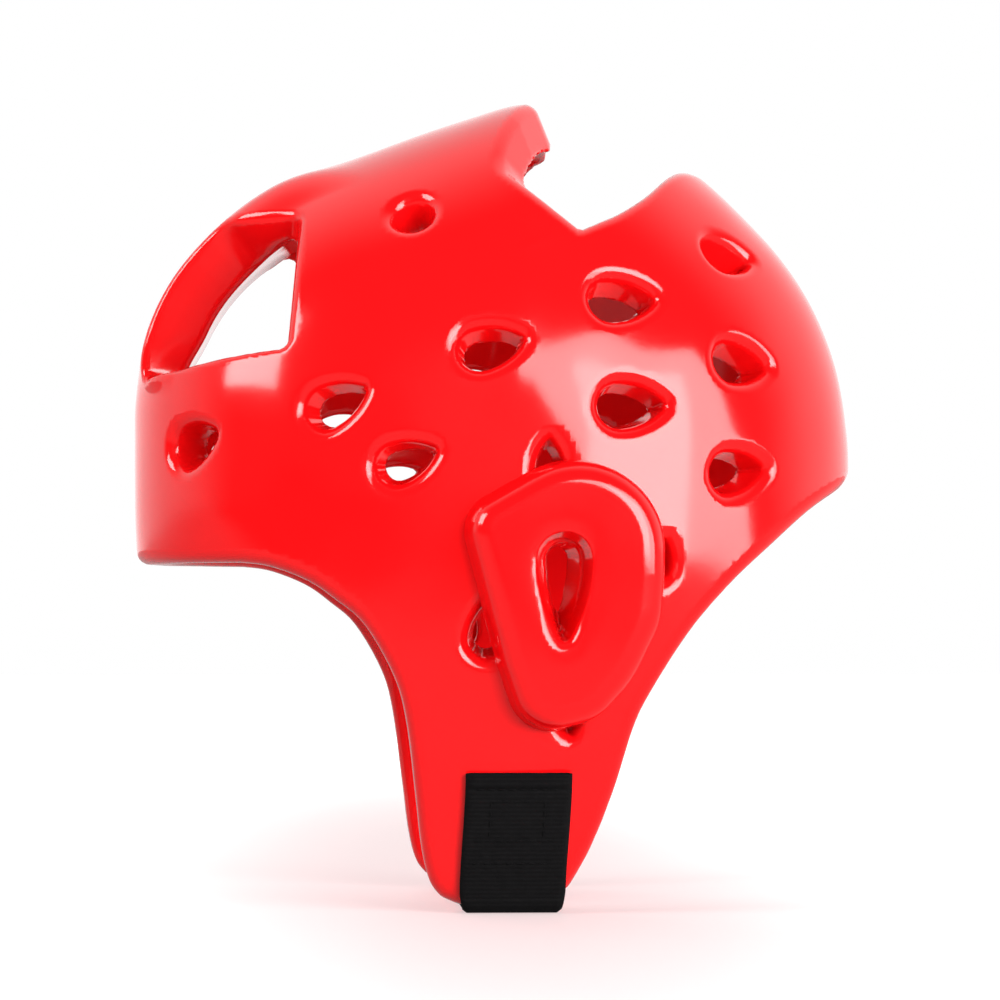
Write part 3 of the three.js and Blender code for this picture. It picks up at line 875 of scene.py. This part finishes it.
def strap_height(u, v, half_width, relief):
    """Height of a section's point above the band's middle line, its edges rounded."""
    if abs(v) < 1:
        return v * STRAP_THICKNESS
    edge = STRAP_EDGE * STRAP_THICKNESS
    from_edge = (1 - abs(u)) * half_width
    past = max(0.0, edge - from_edge) / edge
    inset = edge * (1 - math.sqrt(max(0.0, 1 - past ** 2)))
    height = v * (STRAP_THICKNESS / 2 - inset)
    return height + relief * min(1.0, from_edge / edge) if v > 0 else height


def build_strap():
    """Ribbed band with rounded edges and a folded hem at each sewn end."""
    path, out, at = strap_path()
    half_width = (STRAP_HIGH[1] - STRAP_LOW[1]) / 2
    section = strap_section()
    vertices = []
    for place, away, run in zip(path, out, at):
        end = min(run, at[-1] - run)
        narrow = STRAP_NARROWING * smooth((end - STRAP_NARROWING_START) / STRAP_NARROWING_FADE)
        middle = STRAP_MIDDLE + strap_lean(end)
        relief = strap_relief(run, end)
        for u, v in section:
            x, z = place + away * strap_height(u, v, half_width, relief)
            vertices.append((x, middle + u * (half_width - narrow), z))
    ring = len(section)
    faces = []
    for i in range(len(path) - 1):
        for j in range(ring):
            k = (j + 1) % ring
            faces.append((i * ring + j, i * ring + k, (i + 1) * ring + k, (i + 1) * ring + j))
    mesh = add_mesh("chin_elastic", vertices, faces)
    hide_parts("chin_strap")
    return mesh


def stitch(centre, along, out, length):
    """Points and faces of one ellipsoid of thread."""
    side = np.cross(out, along)
    points = [centre - along * length / 2]
    for share in STITCH_RINGS:
        radius = STITCH_RADIUS * math.sqrt(1 - share ** 2)
        for turn in np.arange(STITCH_SIDES) * 2 * math.pi / STITCH_SIDES:
            swing = side * math.cos(turn) + out * math.sin(turn)
            points.append(centre + along * length / 2 * share + swing * radius)
    points.append(centre + along * length / 2)
    tip = len(points) - 1
    last_ring = tip - STITCH_SIDES
    faces = []
    for i in range(STITCH_SIDES):
        k = (i + 1) % STITCH_SIDES
        faces += [(0, 1 + i, 1 + k), (tip, last_ring + k, last_ring + i)]
        for ring in range(1, last_ring, STITCH_SIDES):
            following = ring + STITCH_SIDES
            faces.append((ring + i, following + i, following + k, ring + k))
    return points, faces


def build_stitches():
    """Black thread along the seams that hold both ends of the elastic."""
    path, out, at = strap_path()
    vertices, faces = [], []

    def surface(across, down, side):
        """Place on the band across its middle and down from its sewn end, and the way out of it."""
        i = int(np.searchsorted(at, down))
        x, z = path[i] + out[i] * (STRAP_THICKNESS / 2 + STITCH_RISE)
        place = np.array([side * x, STRAP_MIDDLE + strap_lean(down) + across, z])
        return place, np.array([side * out[i][0], 0, out[i][1]])

    for side in (1, -1):
        for seam in SEAMS:
            start, end = np.array(seam["from"], float), np.array(seam["to"], float)
            count = int(np.linalg.norm(end - start) / (STITCH_LENGTH + STITCH_GAP))
            for i in range(count):
                a = start + (end - start) * i / count
                b = a + (end - start) / count * STITCH_LENGTH / (STITCH_LENGTH + STITCH_GAP)
                first, away = surface(*a, side)
                second, _ = surface(*b, side)
                gap = second - first
                reach = np.linalg.norm(gap)
                points, rings = stitch((first + second) / 2, gap / reach, away, reach)
                faces += [tuple(len(vertices) + k for k in face) for face in rings]
                vertices += points
    return add_mesh("strap_stitches", vertices, faces)


# Materials

def new_material(name):
    material = bpy.data.materials.new(name)
    material.use_nodes = True
    nodes, links = material.node_tree.nodes, material.node_tree.links
    return material, nodes, links, nodes["Principled BSDF"]


def noise(nodes, links, coordinates, scale, detail=2.0):
    texture = nodes.new("ShaderNodeTexNoise")
    texture.inputs["Scale"].default_value = scale
    texture.inputs["Detail"].default_value = detail
    links.new(coordinates, texture.inputs["Vector"])
    return texture.outputs["Fac"]


def mapped(nodes, links, value, low, high):
    """Value from 0 to 1 brought between two others."""
    node = nodes.new("ShaderNodeMapRange")
    node.inputs["To Min"].default_value = low
    node.inputs["To Max"].default_value = high
    links.new(value, node.inputs["Value"])
    return node.outputs["Result"]


def ramp(nodes, links, value, between, levels):
    """Smooth change from one level to another while a value crosses a span."""
    node = nodes.new("ShaderNodeMapRange")
    node.interpolation_type = "SMOOTHSTEP"
    node.inputs["From Min"].default_value, node.inputs["From Max"].default_value = between
    node.inputs["To Min"].default_value, node.inputs["To Max"].default_value = levels
    links.new(value, node.inputs["Value"])
    return node.outputs["Result"]


def colour_mix(nodes, links, factor, first, second):
    node = nodes.new("ShaderNodeMix")
    node.data_type = "RGBA"
    node.inputs["A"].default_value = (*first, 1)
    node.inputs["B"].default_value = (*second, 1)
    links.new(factor, node.inputs["Factor"])
    return node.outputs["Result"]


def product(nodes, links, first, second):
    node = nodes.new("ShaderNodeMath")
    node.operation = "MULTIPLY"
    links.new(first, node.inputs[0])
    links.new(second, node.inputs[1])
    return node.outputs["Value"]


def add_bump(nodes, links, shader, height, strength, distance):
    bump = nodes.new("ShaderNodeBump")
    bump.inputs["Strength"].default_value = strength
    bump.inputs["Distance"].default_value = distance
    links.new(height, bump.inputs["Height"])
    links.new(bump.outputs["Normal"], shader.inputs["Normal"])


def skin_material():
    """Glossy red vinyl skin with a faint orange peel and slow colour variation."""
    material, nodes, links, shader = new_material("foam_skin")
    place = nodes.new("ShaderNodeNewGeometry").outputs["Position"]
    colour = colour_mix(nodes, links, noise(nodes, links, place, 18.0), SKIN_DARK, SKIN_LIGHT)
    links.new(colour, shader.inputs["Base Color"])
    roughness = mapped(nodes, links, noise(nodes, links, place, 55.0, 4.0), 0.09, 0.14)
    links.new(roughness, shader.inputs["Roughness"])
    add_bump(nodes, links, shader, noise(nodes, links, place, 420.0), 0.05, 0.0002)
    shader.inputs["IOR"].default_value = 1.5
    return material


def elastic_material():
    """Matte black woven elastic."""
    material, nodes, links, shader = new_material("elastic")
    place = nodes.new("ShaderNodeNewGeometry").outputs["Position"]
    weave = noise(nodes, links, place, 300.0, 3.0)
    links.new(colour_mix(nodes, links, weave, ELASTIC_DARK, ELASTIC_LIGHT), shader.inputs["Base Color"])
    shader.inputs["Roughness"].default_value = 0.85
    add_bump(nodes, links, shader, noise(nodes, links, place, 1800.0), 0.4, 0.0003)
    shader.inputs["Specular IOR Level"].default_value = 0.1
    return material


# Stage, lights and camera

def floor_material():
    """Floor that glows paler away from the object, with painted shadow and painted pink bounce light
    near it, and has its own light in reflections.
    """
    material, nodes, links, shader = new_material("pale_floor")
    place = nodes.new("ShaderNodeNewGeometry").outputs["Position"]
    ray = nodes.new("ShaderNodeLightPath")
    scaled = nodes.new("ShaderNodeVectorMath")
    scaled.operation = "MULTIPLY"
    scaled.inputs[1].default_value = (FLOOR_GLOW_STRETCH, 1, 1)
    links.new(place, scaled.inputs[0])
    distance = nodes.new("ShaderNodeVectorMath")
    distance.operation = "LENGTH"
    links.new(scaled.outputs["Vector"], distance.inputs[0])
    # painted shadow and painted bounce light: a dimmer, pinker glow near the object
    away = ramp(nodes, links, distance.outputs["Value"], FLOOR_GLOW_REACH, (0, 1))
    glow = mapped(nodes, links, away, FLOOR_SHADOWED_GLOW_NEAR, FLOOR_GLOW_FAR)
    share = mapped(nodes, links, ray.outputs["Is Diffuse Ray"], 1.0, FLOOR_DIFFUSE)
    links.new(product(nodes, links, glow, share), shader.inputs["Emission Strength"])
    bounce_tint = colour_mix(nodes, links, away, FLOOR_BOUNCE_TINT_NEAR, FLOOR_BOUNCE_TINT_FAR)
    links.new(bounce_tint, shader.inputs["Emission Color"])
    shader.inputs["Base Color"].default_value = (*FLOOR_COLOUR, 1)
    shader.inputs["Roughness"].default_value = 0.6
    shader.inputs["Specular IOR Level"].default_value = 0.1
    split = nodes.new("ShaderNodeSeparateXYZ")
    links.new(place, split.inputs["Vector"])
    level = ramp(nodes, links, split.outputs["X"], FLOOR_REFLECTED_REACH, FLOOR_REFLECTED)
    reflected = nodes.new("ShaderNodeEmission")
    links.new(level, reflected.inputs["Strength"])
    mix = nodes.new("ShaderNodeMixShader")
    links.new(ray.outputs["Is Glossy Ray"], mix.inputs["Fac"])
    links.new(shader.outputs["BSDF"], mix.inputs[1])
    links.new(reflected.outputs["Emission"], mix.inputs[2])
    links.new(mix.outputs["Shader"], nodes["Material Output"].inputs["Surface"])
    return material


def add_floor():
    reach = FLOOR_REACH / MM
    corners = [(-reach, -reach, 0), (reach, -reach, 0), (reach, reach, 0), (-reach, reach, 0)]
    floor = add_mesh("floor", corners, [(0, 1, 2, 3)])
    floor.location.z = -FLOOR_DROP
    floor.data.materials.append(floor_material())


def add_softbox(name, azimuth, elevation, distance, width, height, radiance, reflected):
    """Area light seen from the object at an azimuth from +X towards +Y and an elevation."""
    a, e = math.radians(azimuth), math.radians(elevation)
    away = Vector((math.cos(a) * math.cos(e), math.sin(a) * math.cos(e), math.sin(e)))
    light = bpy.data.lights.new(name, "AREA")
    light.shape = "RECTANGLE"
    light.size, light.size_y = width, height
    light.energy = radiance * math.pi * width * height
    obj = bpy.data.objects.new(name, light)
    obj.location = LIT_POINT + away * distance
    obj.rotation_euler = away.to_track_quat("Z", "Y").to_euler()
    obj.visible_camera = False
    obj.visible_glossy = reflected
    bpy.context.scene.collection.objects.link(obj)


def add_panel(name, azimuth, elevation, distance, width, height, lean, radiance):
    """Glowing panel placed as a softbox is, its top pushed towards -Y by a share of its height."""
    a, e = math.radians(azimuth), math.radians(elevation)
    away = np.array([math.cos(a) * math.cos(e), math.sin(a) * math.cos(e), math.sin(e)])
    right = np.array([-math.sin(a), math.cos(a), 0.0])
    up = np.cross(away, right)
    centre = np.array(LIT_POINT) + away * distance
    corners = [
        centre + right * (u * width / 2 - v * lean * height / 2) + up * v * height / 2
        for u, v in ((-1, -1), (-1, 1), (1, 1), (1, -1))
    ]
    panel = add_mesh(name, np.array(corners) / MM, [(0, 1, 2, 3)])
    material, nodes, links, shader = new_material(name + "_light")
    nodes.remove(shader)
    glow = nodes.new("ShaderNodeEmission")
    glow.inputs["Strength"].default_value = radiance
    links.new(glow.outputs["Emission"], nodes["Material Output"].inputs["Surface"])
    panel.data.materials.append(material)
    panel.visible_camera = False
    panel.visible_shadow = False


def add_world():
    """Pale surroundings behind the object, darker ones before it, and white to the camera."""
    world = bpy.data.worlds.new("studio")
    world.use_nodes = True
    nodes, links = world.node_tree.nodes, world.node_tree.links
    nodes.clear()
    direction = nodes.new("ShaderNodeTexCoord").outputs["Generated"]
    split = nodes.new("ShaderNodeSeparateXYZ")
    links.new(direction, split.inputs["Vector"])
    light = ramp(nodes, links, split.outputs["X"], (ROOM_TURN, -ROOM_TURN), (ROOM_AHEAD, ROOM_BEHIND))
    ray = nodes.new("ShaderNodeLightPath")
    share = mapped(nodes, links, ray.outputs["Is Diffuse Ray"], 1.0, ROOM_DIFFUSE)
    room = nodes.new("ShaderNodeBackground")
    room.inputs["Color"].default_value = (1, 1, 1, 1)
    links.new(product(nodes, links, light, share), room.inputs["Strength"])
    seen = nodes.new("ShaderNodeBackground")
    seen.inputs["Color"].default_value = (1, 1, 1, 1)
    mix = nodes.new("ShaderNodeMixShader")
    links.new(ray.outputs["Is Camera Ray"], mix.inputs["Fac"])
    links.new(room.outputs["Background"], mix.inputs[1])
    links.new(seen.outputs["Background"], mix.inputs[2])
    output = nodes.new("ShaderNodeOutputWorld")
    links.new(mix.outputs["Shader"], output.inputs["Surface"])
    bpy.context.scene.world = world


def add_camera():
    a, e = math.radians(CAMERA_AZIMUTH), math.radians(CAMERA_ELEVATION)
    back = Vector((math.sin(a) * math.cos(e), -math.cos(a) * math.cos(e), math.sin(e)))
    data = bpy.data.cameras.new("camera")
    data.lens = CAMERA_LENS
    data.sensor_width = CAMERA_SENSOR
    camera = bpy.data.objects.new("camera", data)
    camera.location = CAMERA_TARGET + back * CAMERA_DISTANCE
    camera.rotation_euler = back.to_track_quat("Z", "Y").to_euler()
    bpy.context.scene.collection.objects.link(camera)
    bpy.context.scene.camera = camera


# Assembly

add_camera()
add_floor()
add_world()
add_panel("key", **KEY)
for softbox in SOFTBOXES:
    add_softbox(**softbox)
bpy.context.scene.view_settings.view_transform = "Standard"

SKIN = skin_material()
ELASTIC = elastic_material()

shell = build_shell()
pads = [build_pad("ear_pad_left", 1), build_pad("ear_pad_right", -1)]
for piece in [shell, *pads]:
    piece.data.materials.append(SKIN)
    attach(piece, ROOT)
strap = build_strap()
stitches = build_stitches()
for piece in (strap, stitches):
    piece.data.materials.append(ELASTIC)
    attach(piece, ROOT)
